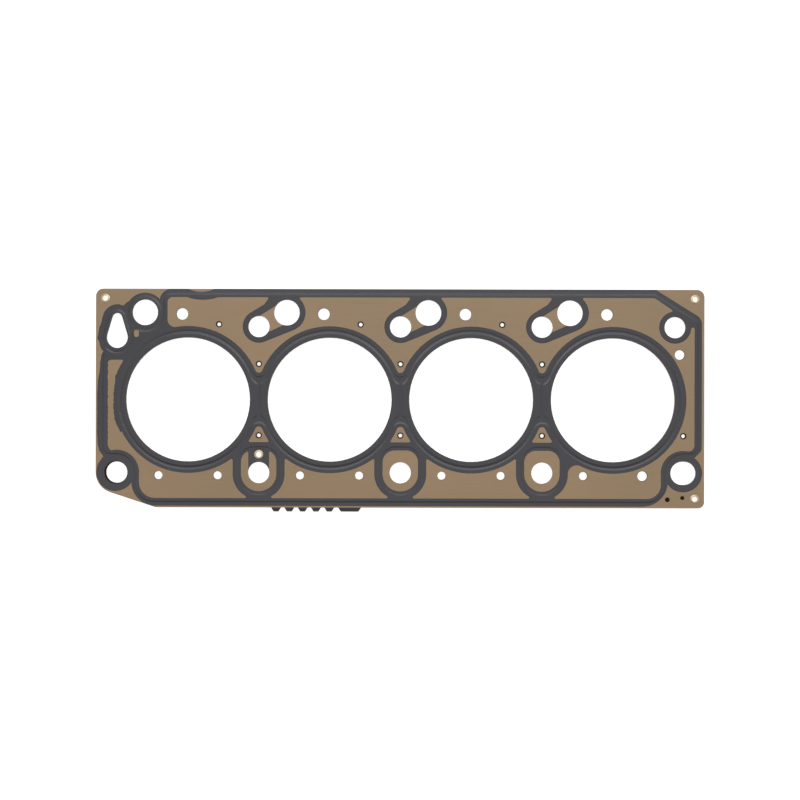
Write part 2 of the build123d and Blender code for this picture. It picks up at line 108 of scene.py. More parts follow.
# %% Add a node
def add_node(tree, kind, values=None, links=None, **settings):
    """Adds a shader node, sets its own settings and its inputs' values, and links inputs to earlier outputs."""
    node = tree.nodes.new(kind)
    for name, value in settings.items():
        setattr(node, name, value)
    for name, value in (values or {}).items():
        node.inputs[name].default_value = value
    for name, output in (links or {}).items():
        tree.links.new(output, node.inputs[name])
    return node


def new_finish(name):
    """An empty material, with its node tree and its texture coordinates."""
    material = bpy.data.materials.new(name)
    material.use_nodes = True
    tree = material.node_tree
    tree.nodes.clear()
    place = add_node(tree, "ShaderNodeTexCoord")
    return material, tree, place


def close_finish(tree, shader):
    """Joins a finish's shader to the output."""
    add_node(tree, "ShaderNodeOutputMaterial", links={"Surface": shader.outputs["BSDF"]})


def wear(piece, material):
    """Gives a piece one material."""
    piece.data.materials.clear()
    piece.data.materials.append(material)


# %% [markdown]
# ## Primed spring steel
# The outer sheets are cold rolled spring steel under a thin tan primer. The primer is satin: it hides the metal
# but lets the faint lines of the rolling mill through, which run along the sheet. The sheet was punched after it
# was primed, so its cut edges are bare. A long thin noise gives the rolling lines, a broad one the slight change
# of tone from place to place, and the surface's own normal says where a cut edge is.

# %% Primed spring steel
primed_steel, tree, place = new_finish("primed_spring_steel")
ROLLING_LINE_MM = 0.6  # real lines are finer, and would not show in the picture
ALONG_LINES = 0.03  # the noise is drawn out along the sheet by this scale
TONE_PATCH_MM = 90
UPRIGHT = 0.5  # a face whose normal rises less than this is a cut edge
lines_place = add_node(
    tree, "ShaderNodeMapping", {"Scale": (ALONG_LINES, 1.0, 1.0)}, {"Vector": place.outputs["Object"]}
)
rolling = add_node(
    tree,
    "ShaderNodeTexNoise",
    {"Scale": 1 / (ROLLING_LINE_MM * MM), "Detail": 3.0},
    {"Vector": lines_place.outputs["Vector"]},
)
broad = add_node(
    tree,
    "ShaderNodeTexNoise",
    {"Scale": 1 / (TONE_PATCH_MM * MM), "Detail": 2.0},
    {"Vector": place.outputs["Object"]},
)
tone = add_node(
    tree,
    "ShaderNodeMix",
    {6: PRIMER_DULL, 7: PRIMER_WARM},
    {0: broad.outputs["Fac"]},
    data_type="RGBA",
)
line_tone = add_node(
    tree,
    "ShaderNodeMapRange",
    {"From Min": 0.3, "From Max": 0.7, "To Min": 0.96, "To Max": 1.04},
    {"Value": rolling.outputs["Fac"]},
)
lined = add_node(
    tree,
    "ShaderNodeVectorMath",
    links={0: tone.outputs[2], 1: line_tone.outputs["Result"]},
    operation="MULTIPLY",
)
facing = add_node(tree, "ShaderNodeSeparateXYZ", links={0: place.outputs["Normal"]})
flatness = add_node(tree, "ShaderNodeMath", links={0: facing.outputs["Z"]}, operation="ABSOLUTE")
is_cut = add_node(tree, "ShaderNodeMath", {1: UPRIGHT}, {0: flatness.outputs[0]}, operation="LESS_THAN")
steel_colour = add_node(
    tree,
    "ShaderNodeMix",
    {7: CUT_STEEL},
    {0: is_cut.outputs[0], 6: lined.outputs[0]},
    data_type="RGBA",
)
steel_rough = add_node(
    tree,
    "ShaderNodeMapRange",
    {"From Min": 0.3, "From Max": 0.7, "To Min": 0.42, "To Max": 0.52},
    {"Value": rolling.outputs["Fac"]},
)
shader = add_node(
    tree,
    "ShaderNodeBsdfPrincipled",
    links={"Base Color": steel_colour.outputs[2], "Roughness": steel_rough.outputs["Result"]},
)
close_finish(tree, shader)
print("made", primed_steel.name)

# %% [markdown]
# ## Screened elastomer
# The dark bands are a nitrile rubber, printed through a screen and baked. It is a soft satin grey, close to black,
# with a fine grain left by the mesh of the screen, which a bump shows.

# %% Screened elastomer
elastomer, tree, place = new_finish("screened_elastomer")
SCREEN_GRAIN_MM = 0.9  # a real screen's mesh is about 0.1 mm; this is as fine as the picture can show
GRAIN_DEPTH_MM = 0.02
grain = add_node(
    tree,
    "ShaderNodeTexNoise",
    {"Scale": 1 / (SCREEN_GRAIN_MM * MM), "Detail": 2.0},
    {"Vector": place.outputs["Object"]},
)
ink_tone = add_node(
    tree,
    "ShaderNodeMix",
    {6: PRINT_DARK, 7: PRINT_GREY},
    {0: grain.outputs["Fac"]},
    data_type="RGBA",
)
ink_bump = add_node(
    tree,
    "ShaderNodeBump",
    {"Strength": 0.15, "Distance": GRAIN_DEPTH_MM * MM},
    {"Height": grain.outputs["Fac"]},
)
shader = add_node(
    tree,
    "ShaderNodeBsdfPrincipled",
    {"Roughness": 0.25},
    {"Base Color": ink_tone.outputs[2], "Normal": ink_bump.outputs["Normal"]},
)
close_finish(tree, shader)
print("made", elastomer.name)

# %% [markdown]
# ## Blackened spacer steel
# The spacer is oxide black: a thin skin of magnetite that mirrors very little, so it is a metal with a nearly black
# colour. Its teeth, which stand out past the sheets, get a lighter grey. This is painted sheen for the light they
# catch in the open, while the same oxide in the holes and walls keeps the plain black.

# %% Blackened spacer steel
black_steel, tree, place = new_finish("oxide_black_steel")
OXIDE_PATCH_MM = 2.5
TEETH_FROM_MM = -73.2
oxide_noise = add_node(
    tree,
    "ShaderNodeTexNoise",
    {"Scale": 1 / (OXIDE_PATCH_MM * MM), "Detail": 4.0},
    {"Vector": place.outputs["Object"]},
)
place_parts = add_node(tree, "ShaderNodeSeparateXYZ", links={0: place.outputs["Object"]})
# The teeth past the sheets get painted sheen: a lighter grey for the light they catch in the open.
teeth_sheen_mask = add_node(
    tree, "ShaderNodeMath", {1: TEETH_FROM_MM * MM}, {0: place_parts.outputs["Y"]}, operation="LESS_THAN"
)
black_tone = add_node(
    tree,
    "ShaderNodeMix",
    {6: SPACER_BLACK, 7: SPACER_TEETH_SHEEN},
    {0: teeth_sheen_mask.outputs[0]},
    data_type="RGBA",
)
black_rough = add_node(
    tree, "ShaderNodeMapRange", {"To Min": 0.4, "To Max": 0.6}, {"Value": oxide_noise.outputs["Fac"]}
)
shader = add_node(
    tree,
    "ShaderNodeBsdfPrincipled",
    {"Metallic": 1.0},
    {"Base Color": black_tone.outputs[2], "Roughness": black_rough.outputs["Result"]},
)
close_finish(tree, shader)
print("made", black_steel.name)

# %% [markdown]
# ## Rolled ring steel and plated eyelets
# The stopper rings are bare stainless strip. The eyelets are steel with a pale brass plating, dulled by handling.

# %% Rings and eyelets
STRIP_GRAIN_MM = 1.0
PLATE_PATCH_MM = 0.7
ring_steel, tree, place = new_finish("rolled_stainless_strip")
strip_noise = add_node(
    tree,
    "ShaderNodeTexNoise",
    {"Scale": 1 / (STRIP_GRAIN_MM * MM), "Detail": 2.0},
    {"Vector": place.outputs["Object"]},
)
strip_rough = add_node(
    tree, "ShaderNodeMapRange", {"To Min": 0.25, "To Max": 0.4}, {"Value": strip_noise.outputs["Fac"]}
)
shader = add_node(
    tree,
    "ShaderNodeBsdfPrincipled",
    {"Base Color": RING_STEEL, "Metallic": 1.0},
    {"Roughness": strip_rough.outputs["Result"]},
)
close_finish(tree, shader)

plated, tree, place = new_finish("pale_brass_plating")
plate_noise = add_node(
    tree,
    "ShaderNodeTexNoise",
    {"Scale": 1 / (PLATE_PATCH_MM * MM), "Detail": 2.0},
    {"Vector": place.outputs["Object"]},
)
plate_tone = add_node(
    tree,
    "ShaderNodeMix",
    {6: EYELET_WARM, 7: EYELET_PLATE},
    {0: plate_noise.outputs["Fac"]},
    data_type="RGBA",
)
shader = add_node(
    tree,
    "ShaderNodeBsdfPrincipled",
    {"Metallic": 1.0, "Roughness": 0.3},
    {"Base Color": plate_tone.outputs[2]},
)
close_finish(tree, shader)
print("made", ring_steel.name, "and", plated.name)

# %% [markdown]
# ## Helpers for the modelling
# Blender's operators work on what is selected. One function leaves a single piece selected and active, and another
# opens the active piece for editing with only the faces or points selected that a mask chooses. A third reads one
# attribute of all faces or points at once.


# %% Select and read
EXACT = 1e-8  # a cut keeps its points apart from others down to this distance, in metres


def only(piece):
    """Leaves one piece selected, and makes it the active one."""
    bpy.ops.object.select_all(action="DESELECT")
    piece.select_set(True)
    bpy.context.view_layer.objects.active = piece


def open_with(piece, kind, chosen):
    """Opens the active piece for editing, with the chosen of its "FACE" or "VERT" items selected."""
    bpy.ops.object.mode_set(mode="EDIT")
    bpy.ops.mesh.select_mode(type=kind)
    bpy.ops.mesh.select_all(action="DESELECT")
    bpy.ops.object.mode_set(mode="OBJECT")
    items = piece.data.polygons if kind == "FACE" else piece.data.vertices
    items.foreach_set("select", chosen)
    bpy.ops.object.mode_set(mode="EDIT")


def close():
    """Leaves the editing."""
    bpy.ops.object.mode_set(mode="OBJECT")


def read(items, name):
    """A three part attribute of all faces or points, one row for each."""
    values = np.empty(3 * len(items), np.float32)
    items.foreach_get(name, values)
    return values.reshape(-1, 3)


def write_points(piece, points):
    """Moves all of a piece's points to new places."""
    piece.data.vertices.foreach_set("co", points.ravel())
    piece.data.update()


print("helpers ready")

# %% [markdown]
# ## A copy of a packed layer
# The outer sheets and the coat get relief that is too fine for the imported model. Each starts as a copy of its own
# layer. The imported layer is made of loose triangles, so the copy is merged by distance first, which makes it one
# closed skin that can be cut and pressed.

# %% Copy a layer
LOOSE_MM = 0.002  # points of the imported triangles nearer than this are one


def merged_copy(node_name, name):
    """A copy of a packed layer as one closed skin."""
    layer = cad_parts[node_name]
    piece = layer.copy()
    piece.data = layer.data.copy()
    piece.name = name
    piece.parent = None
    bpy.context.scene.collection.objects.link(piece)
    only(piece)
    bpy.ops.object.mode_set(mode="EDIT")
    bpy.ops.mesh.select_all(action="SELECT")
    bpy.ops.mesh.remove_doubles(threshold=LOOSE_MM * MM)
    close()
    return piece


pressed_sheet = merged_copy("upper_sheet", "pressed_sheet")
printed_coat = merged_copy("upper_coating", "printed_coat")
under_sheet = merged_copy("lower_sheet", "under_sheet")
print("sheet of", len(pressed_sheet.data.vertices), "points, coat of", len(printed_coat.data.vertices))

# %% [markdown]
# ## The ragged end of the print
# At its left end the coat isn't printed sharply: the screen was worn, and the edges wander and have small notches.
# The coat there is cut across every millimetre or so with bisect, which gives its edges points, and a warp then
# pulls those points sideways. The pull dies out a little way into the coat, so no face turns over.

# %% Cut the left end across
LEVEL_MM = 1.1
CUT_UP_TO_MM = -185.0  # the worn end lies to the left of this
levels = np.arange(-57.0, 61.0, LEVEL_MM)
only(printed_coat)
for level in levels:
    centres = read(printed_coat.data.polygons, "center") / MM
    open_with(printed_coat, "FACE", centres[:, 0] < CUT_UP_TO_MM)
    bpy.ops.mesh.bisect(plane_co=(0, level * MM, 0), plane_no=(0, 1, 0), threshold=EXACT)
    close()
print("coat cut across", len(levels), "times, now", len(printed_coat.data.polygons), "faces")

# %% Find the edges
EDGES_UP_TO_MM = -184.0
ON_LEVEL_MM = 0.003
points = read(printed_coat.data.vertices, "co")
on_edge = np.zeros(len(points), bool)
for face in printed_coat.data.polygons:
    if abs(face.normal.z) < UPRIGHT:
        on_edge[list(face.vertices)] = True
rim = points[on_edge] / MM
rim = rim[rim[:, 0] < EDGES_UP_TO_MM]
rows = []
for level in levels:
    here = rim[abs(rim[:, 1] - level) < ON_LEVEL_MM, 0]
    rows.append(np.unique(np.round(here, 2)))
print("across the middle the edges are at x", rows[len(rows) // 2])

# %% [markdown]
# The worn edges were measured in the photograph at a few places, given here as y and x in millimetres. Between
# them a small random wander, the same in each run, makes the fine teeth.

# %% Pull the edges
PULL_REACH_MM = 1.6
WANDER_MM = 0.22
OUTER_WANDER = 0.6  # the outer edge wanders less, by this factor
OUTER_EDGE = [(60.9, -199.9), (58.2, -201.3), (53.2, -202.7), (50.9, -203.0), (48.7, -204.2), (45.5, -204.7)]
OUTER_EDGE += [(41.0, -205.4), (39.2, -204.2), (35.6, -203.6), (32.4, -201.6), (29.7, -202.7), (25.2, -203.6)]
OUTER_EDGE += [(20.6, -203.8), (11.6, -205.1), (4.9, -205.5), (-24.0, -205.5), (-30.0, -205.2), (-35.0, -203.9)]
OUTER_EDGE += [(-38.7, -201.4), (-42.0, -203.7), (-44.0, -205.0), (-48.4, -206.0), (-52.0, -206.0)]
OUTER_EDGE += [(-57.0, -203.7)]
INNER_EDGE_X = -198.3
FIELD_EDGE = [(26.2, -188.6), (22.0, -190.3), (15.8, -193.1), (9.0, -193.8), (4.0, -194.4), (-6.2, -194.4)]
FIELD_EDGE += [(-13.1, -193.7), (-17.9, -192.0), (-22.8, -189.0)]
dice = np.random.default_rng(7)


def at_levels(edge):
    """The x of a measured edge at each of the cuts."""
    sides, places = zip(*sorted(edge))
    return np.interp(levels, sides, places)


def wander():
    """A small random shift for each of the cuts."""
    return dice.uniform(-WANDER_MM, WANDER_MM, len(levels))


def pull(number, wanted, first, last):
    """Moves the edge that has this number, from the left, to where it is wanted, between two levels."""
    inner = (levels > first) & (levels < last)
    found = np.array([row[number] if use else 0.0 for row, use in zip(rows, inner)])[inner]
    shift = (wanted[inner] - found) * np.r_[0, np.ones(inner.sum() - 2), 0]
    x, y = points[:, 0] / MM, points[:, 1] / MM
    edge_x = np.interp(y, levels[inner], found)
    nearness = np.clip(1 - abs(x - edge_x) / PULL_REACH_MM, 0, 1)
    points[:, 0] += np.interp(y, levels[inner], shift, 0, 0) * nearness * MM
    return round(float(abs(shift).max()), 2)


pulls = [
    pull(0, at_levels(OUTER_EDGE) + wander() * OUTER_WANDER, -57.5, 61.0),
    pull(1, INNER_EDGE_X + wander(), -29.0, 25.0),
    pull(2, at_levels(FIELD_EDGE) + wander(), -22.5, 25.0),
]
write_points(printed_coat, points)
print("furthest pulls:", pulls, "mm")

# %% [markdown]
# ## The bead, rounded by its press
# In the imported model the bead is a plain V. A press doesn't leave a sharp fold: the strip bends in, runs steepest
# half way down, and bends out again, like a wave. So each flank is cut into strips by level planes with bisect,
# and each cut is then moved to the height that a wave has there. Nothing moves sideways, and the depth stays.

# %% Round the bead
BEAD_MM = 0.25
STRIPS = 6
NEAR_CUT_MM = 0.0008
# The floor of the bead on each layer's under face and on its upper face.
BEAD_FLOORS = ((pressed_sheet, 1.3, 1.55), (printed_coat, 1.55, 1.6), (under_sheet, 0.0, 0.25))


def wave(part):
    """How far up a rounded flank is, for a part of the way up a straight one."""
    return (1 - np.cos(pi * part)) / 2


def round_flanks(piece, floor_mm, faces_up):
    """Cuts the flanks of one face of a layer into strips, and sets each cut at the wave's height."""
    parts = [step / STRIPS for step in range(1, STRIPS)]
    for part in parts:
        rises = read(piece.data.polygons, "normal")[:, 2] * faces_up
        open_with(piece, "FACE", rises > UPRIGHT)
        level = (floor_mm + BEAD_MM * part) * MM
        bpy.ops.mesh.bisect(plane_co=(0, 0, level), plane_no=(0, 0, 1), threshold=EXACT)
        close()
    for part in parts:
        heights = read(piece.data.vertices, "co")[:, 2] / MM
        open_with(piece, "VERT", abs(heights - floor_mm - BEAD_MM * part) < NEAR_CUT_MM)
        bpy.ops.transform.translate(value=(0, 0, (wave(part) - part) * BEAD_MM * MM))
        close()


for piece, under_floor, upper_floor in BEAD_FLOORS:
    only(piece)
    round_flanks(piece, under_floor, -1)
    round_flanks(piece, upper_floor, 1)
    print(piece.name, "now has", len(piece.data.polygons), "faces")

# %% [markdown]
# ## The half beads
# Away from the bores, the sheet seals with half beads: low steps, 0.2 mm high, which run along the
# middle of the printed bands. One goes round the whole sealed area, one round each of the three loops, whose
# inside lies low, and the rims of the first passage and of the pear shaped hole stand up inside theirs. A track
# is a closed line of points, with its corners rounded.


# %% Draw a track
ARC_STEP = 7  # degrees between the points of an arc


def arc(x, y, radius, start, end):
    """Points along a circle, between two angles in degrees."""
    count = max(2, round(abs(end - start) / ARC_STEP) + 1)
    turns = [radians(start + (end - start) * i / (count - 1)) for i in range(count)]
    return [(x + radius * cos(turn), y + radius * sin(turn)) for turn in turns]


def rounded_track(corners):
    """A closed track from corners given as x, y and the radius that rounds them."""
    track = []
    for i, (x, y, radius) in enumerate(corners):
        here = Vector((x, y))
        back = (Vector(corners[i - 1][:2]) - here).normalized()
        onward = (Vector(corners[(i + 1) % len(corners)][:2]) - here).normalized()
        if radius == 0:
            track.append((x, y))
            continue
        half = back.angle(onward) / 2
        centre = here + (back + onward).normalized() * radius / sin(half)
        first = here + back * radius / tan(half) - centre
        last = here + onward * radius / tan(half) - centre
        start = degrees(atan2(first.y, first.x))
        sweep = (degrees(atan2(last.y, last.x)) - start + 180) % 360 - 180
        track += arc(centre.x, centre.y, radius, start, start + sweep)
    return track


print("an arc of a quarter turn has", len(arc(0, 0, 1, 0, 90)), "points")

# %% Tracks of the steps
PASSAGE = (-173.1, 59.0)
PEAR = (-192.1, 42.0)
PASSAGE_RIM = 10.9
PEAR_RIM = 9.2
BORE_PITCH = 96
# Corners, as x, y and radius: first the outer track's, then a loop's, seen from the middle of its web.
UPPER_CORNERS = [(172.0, 71.6, 4.0), (-160.2, 71.6, 5.5)]
OTHER_CORNERS = [(-201.3, 31.0, 2.0), (-201.5, -36.9, 4.5), (-180.0, -36.9, 12.3), (-180.0, -69.1, 13.0)]
OTHER_CORNERS += [(179.4, -69.1, 12.5), (179.4, -36.9, 12.3), (201.6, -35.9, 4.5), (201.6, 53.2, 5.0)]
LOOP_CORNERS = [(-14.0, -31.9, 11.0), (-14.0, -64.4, 13.9), (14.0, -64.4, 13.9), (14.0, -31.9, 11.0)]

past_passage_and_pear = [(x, y, 0) for x, y in arc(*PASSAGE, 12.9, 0, -110) + arc(*PEAR, 10.5, 25, -135)]
outer_track = rounded_track(UPPER_CORNERS + past_passage_and_pear + OTHER_CORNERS)
loop_tracks = [
    rounded_track([(middle + x, y, radius) for x, y, radius in LOOP_CORNERS])
    for middle in (-BORE_PITCH, 0, BORE_PITCH)
]
passage_track = arc(*PASSAGE, PASSAGE_RIM, 0, 353)
pear_track = arc(*PEAR, PEAR_RIM, 163.5, 376.5) + arc(PEAR[0], PEAR[1] + 13.0, 5.5, 16.5, 163.5)
tracks = [outer_track, *loop_tracks, passage_track, pear_track]
print("tracks of", [len(track) for track in tracks], "points")

# %% [markdown]
# A step is 1.3 mm wide and rounded like the bead, so the sheet needs four fold lines along each track, with rungs
# between them, so that no face bridges a bend. Thin upright walls are put along the lines and the rungs and crossed
# with the sheet by the intersect operator, which cuts the sheet's faces there, and the walls are then deleted.

# %% Walls along the fold lines
STEP_WIDTH = 1.3
STEP_MM = 0.2
FOLDS = (-0.5, -0.25, 0.25, 0.5)  # parts of the width
WALL_FOOT = -0.5 * MM
WALL_TOP = 2.5 * MM


def beside(track, aside):
    """The track moved sideways by so much, point by point."""
    moved = []
    for i, (x, y) in enumerate(track):
        before = Vector(track[i - 1])
        after = Vector(track[(i + 1) % len(track)])
        along = (after - before).normalized()
        moved.append((x + along.y * aside, y - along.x * aside))
    return moved


def upright_walls():
    """Walls along the fold lines of all tracks, and across between them, as one piece."""
    points, walls = [], []
    for track in tracks:
        size = 2 * len(track)
        for fold in FOLDS:
            first = len(points)
            for x, y in beside(track, fold * STEP_WIDTH):
                points += [(x * MM, y * MM, WALL_FOOT), (x * MM, y * MM, WALL_TOP)]
            for near in range(first, first + size, 2):
                far = first + (near - first + 2) % size
                walls.append((near, far, far + 1, near + 1))
                if fold != FOLDS[0]:
                    walls.append((near, near - size, near - size + 1, near + 1))
    mesh = bpy.data.meshes.new("walls")
    mesh.from_pydata(points, [], walls)
    piece = bpy.data.objects.new("walls", mesh)
    bpy.context.scene.collection.objects.link(piece)
    return piece


print("fold lines at", [fold * STEP_WIDTH for fold in FOLDS], "mm from a track")

# %% Fold lines
SAME_POINT_MM = 0.0005


def select_walls(piece):
    """Opens a layer with the faces selected that came from the walls."""
    open_with(piece, "FACE", [face.material_index == 1 for face in piece.data.polygons])


def crease(piece):
    """Cuts fold lines into a layer along each track."""
    walls = upright_walls()
    wear(piece, primed_steel)
    wear(walls, elastomer)  # only to tell the walls' faces from the layer's
    only(piece)
    walls.select_set(True)
    bpy.ops.object.join()
    select_walls(piece)
    bpy.ops.mesh.intersect(mode="SELECT_UNSELECT", separate_mode="NONE", threshold=EXACT, solver="FAST")
    close()
    select_walls(piece)
    bpy.ops.mesh.delete(type="FACE")
    bpy.ops.mesh.select_all(action="SELECT")
    bpy.ops.mesh.remove_doubles(threshold=SAME_POINT_MM * MM)
    close()


for piece in (pressed_sheet, printed_coat, under_sheet):
    crease(piece)
    print(piece.name, "now has", len(piece.data.polygons), "faces")

# %% [markdown]
# Now the low parts are pressed: all that is outside the outer track, apart from the two rims, and the inside of the
# loops. A point near a track goes down by a part of the step, by the same wave as in the bead. An eyelet's dish is
# already down on the spacer, so its floor stays, and its flank is pressed by less and less towards the floor.


# %% How far from a track
def from_track(x, y, track):
    """How far points are from a closed track: more than zero inside it, less outside."""
    inside = np.zeros(len(x), bool)
    nearest = np.full(len(x), np.inf)
    x1, y1 = track[-1]
    for x2, y2 in track:
        along = ((x - x1) * (x2 - x1) + (y - y1) * (y2 - y1)) / ((x2 - x1) ** 2 + (y2 - y1) ** 2)
        along = np.clip(along, 0, 1)
        nearest = np.minimum(nearest, np.hypot(x - x1 - along * (x2 - x1), y - y1 - along * (y2 - y1)))
        if y1 != y2:
            inside ^= ((y1 > y) != (y2 > y)) & (x < x1 + (y - y1) * (x2 - x1) / (y2 - y1))
        x1, y1 = x2, y2
    return np.where(inside, nearest, -nearest)


def furthest_in(x, y, some_tracks):
    """The same for several tracks at once, from the one that a point is deepest in."""
    return np.maximum.reduce([from_track(x, y, track) for track in some_tracks])


bolt_depth = from_track(np.array([0.0]), np.array([-49.5]), loop_tracks[1])[0]
print("the middle loop's bolt hole is", round(bolt_depth, 1), "mm inside its track")

# %% Press the steps
EYELETS = [(-200.2, 68.7), (199.7, 68.7), (199.7, -66.8), (-96.0, -37.2)]
DISH_FLOOR_MM = 3.6
# For each layer: its flat outer face, which way the spacer is, and how thick it is.
PRESSED = ((pressed_sheet, 1.8, -1, 0.25), (printed_coat, 1.85, -1, 0.05), (under_sheet, 0.0, 1, 0.25))


def press_steps(piece, face_mm, inward, thick_mm):
    """Presses the low side of the steps towards the spacer."""
    points = read(piece.data.vertices, "co")
    x, y, z = points.T.astype(float) / MM
    high_side = furthest_in(x, y, (outer_track, passage_track, pear_track))
    low_side = np.maximum(furthest_in(x, y, loop_tracks), -high_side)
    share = wave(np.clip(0.5 + low_side / STEP_WIDTH, 0, 1))
    depth = (z - face_mm) * inward
    depth -= np.where(depth > thick_mm - SAME_POINT_MM, thick_mm, 0)  # an inner face counts from itself
    share *= np.clip(1 - depth / BEAD_MM, 0, 1)
    for eyelet_x, eyelet_y in EYELETS:
        share[np.hypot(x - eyelet_x, y - eyelet_y) < DISH_FLOOR_MM] = 0
    points[:, 2] += inward * STEP_MM * MM * share
    write_points(piece, points)
    return int((share > 0).sum())


for piece, face_mm, inward, thick_mm in PRESSED:
    print(piece.name, "pressed", press_steps(piece, face_mm, inward, thick_mm), "points")

# %% [markdown]
# Each layer's faces are shaded smooth where they meet at less than 30 degrees, so that the slopes look rolled and
# the cut edges stay sharp. Smooth shading alone would bend the light on the big flat faces beside a fold, so a
# Weighted Normal modifier lets the larger face decide at each point, and the flats look flat again. Each piece
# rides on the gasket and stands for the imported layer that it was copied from.

# %% Finish the pressed layers
for piece, node_name, finish, slot_name in (
    (pressed_sheet, "upper_sheet", primed_steel, "sheet"),
    (printed_coat, "upper_coating", elastomer, "coating"),
    (under_sheet, "lower_sheet", primed_steel, "sheet"),
):
    only(piece)
    bpy.ops.object.shade_smooth_by_angle(angle=radians(30))
    bpy.ops.object.modifier_add(type="WEIGHTED_NORMAL")
    weighted = piece.modifiers[-1]
    weighted.weight = 100
    weighted.keep_sharp = True
    bpy.ops.object.modifier_apply(modifier=weighted.name)
    wear(piece, finish)
    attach(piece, "root")
    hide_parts(node_name)
    print(piece.name, "stands for", node_name)

# %% [markdown]
# ## Rolled eyelets
# An eyelet is a short tube, whose ends a punch rolls outwards into round lips. One is made by drawing its section
# ring by ring: a circle of edges is extruded and scaled from one point of the section to the next, and the last
# ring is bridged to the first. It is modelled once and copied to its four places.

# %% Roll one eyelet
TWO_HEIGHTS_MM = 1.8  # the heights of a point of the upper lip and of its mirror on the lower one, added up
LIP = [(1.8, 1.5), (1.82, 1.63), (1.9, 1.71), (2.05, 1.75), (2.25, 1.745), (2.5, 1.715), (2.75, 1.66), (3.0, 1.555)]
TUBE = [(2.2, 1.552), (2.2, 0.248)]
section = LIP + TUBE + [(r, TWO_HEIGHTS_MM - z) for r, z in reversed(LIP)]
bpy.ops.object.select_all(action="DESELECT")
bpy.ops.mesh.primitive_circle_add(vertices=40, radius=section[0][0] * MM, location=(0, 0, 0))
eyelet = bpy.context.object
eyelet.name = "rolled_eyelets"
bpy.ops.object.mode_set(mode="EDIT")
bpy.ops.mesh.select_mode(type="VERT")
bpy.ops.mesh.select_all(action="SELECT")
bpy.ops.transform.translate(value=(0, 0, section[0][1] * MM))
for (r1, z1), (r2, z2) in zip(section, section[1:]):
    bpy.ops.mesh.extrude_edges_move(TRANSFORM_OT_translate={"value": (0, 0, (z2 - z1) * MM)})
    bpy.ops.transform.resize(value=(r2 / r1, r2 / r1, 1))
bpy.ops.mesh.select_mode(type="EDGE")
bpy.ops.mesh.select_all(action="DESELECT")
bpy.ops.mesh.select_non_manifold(extend=False)
bpy.ops.mesh.bridge_edge_loops()
bpy.ops.mesh.select_all(action="SELECT")
bpy.ops.mesh.normals_make_consistent(inside=False)
close()
print("section of", len(section), "rings,", len(eyelet.data.vertices), "points")

# %% Copy it to its places
one = len(eyelet.data.vertices)
for x, y in EYELETS[:-1]:
    open_with(eyelet, "VERT", np.arange(len(eyelet.data.vertices)) < one)
    bpy.ops.mesh.duplicate_move(TRANSFORM_OT_translate={"value": (x * MM, y * MM, 0)})
    close()
x, y = EYELETS[-1]  # the first one goes to the last place itself
open_with(eyelet, "VERT", np.arange(len(eyelet.data.vertices)) < one)
bpy.ops.transform.translate(value=(x * MM, y * MM, 0))
close()
bpy.ops.object.shade_smooth_by_angle(angle=radians(50))
wear(eyelet, plated)
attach(eyelet, "root")
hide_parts("eyelets")
print(len(EYELETS), "eyelets of", one, "points")

# %% [markdown]
# ## The layers between
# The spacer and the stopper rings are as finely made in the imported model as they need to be, so they only get
# their finishes.

# %% The layers between
for node_name, finish in (("spacer_sheet", black_steel), ("stopper_rings", ring_steel)):
    wear(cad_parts[node_name], finish)
    print(node_name, "wears", finish.name)

# %% [markdown]
# ## Floor
# The gasket lies on a plain white sweep. The floor is a real surface that takes the shadow, and for rays that come
# from the camera, or from a shiny surface, it gets a little light of its own, so that it shows as white.

# %% Floor
FLOOR_LIFT = 0.65
FLOOR_SIZE = 6.0  # metres
bpy.ops.object.select_all(action="DESELECT")
bpy.ops.mesh.primitive_plane_add(size=FLOOR_SIZE, location=(0, 0, 0))
floor = bpy.context.object
floor.name = "floor"
bpy.ops.object.mode_set(mode="EDIT")
bpy.ops.mesh.select_all(action="SELECT")
bpy.ops.mesh.subdivide(number_cuts=3)
close()
paper, tree, place = new_finish("white_paper_sweep")
matte = add_node(tree, "ShaderNodeBsdfDiffuse", {"Color": FLOOR_PAPER})
light_path = add_node(tree, "ShaderNodeLightPath")
seen = add_node(
    tree,
    "ShaderNodeMath",
    links={0: light_path.outputs["Is Camera Ray"], 1: light_path.outputs["Is Glossy Ray"]},
    operation="MAXIMUM",
)
seen_too = add_node(
    tree,
    "ShaderNodeMath",
    links={0: seen.outputs[0], 1: light_path.outputs["Is Transmission Ray"]},
    operation="MAXIMUM",
)
lift = add_node(tree, "ShaderNodeMath", {1: FLOOR_LIFT}, {0: seen_too.outputs[0]}, operation="MULTIPLY")
glow = add_node(tree, "ShaderNodeEmission", {"Color": WHITE}, {"Strength": lift.outputs[0]})
both = add_node(tree, "ShaderNodeAddShader", links={0: matte.outputs[0], 1: glow.outputs[0]})
add_node(tree, "ShaderNodeOutputMaterial", links={"Surface": both.outputs[0]})
wear(floor, paper)
print("floor", floor.name)

# %% [markdown]
# ## Light
# The beads are only a quarter of a millimetre deep, so they are seen by what their slopes mirror. The room is dim
# on the side away from the oil passages, plain overhead, and brightest in front of the lamp, as with a white wall
# and a window. A flat face still gets plain white light, at the level at which a colour renders as it is written,
# and the background shows as white. A colour ramp holds the room's levels, by how far off straight up a ray
# points. Rays that point far to the left or right find the room's dim corners.

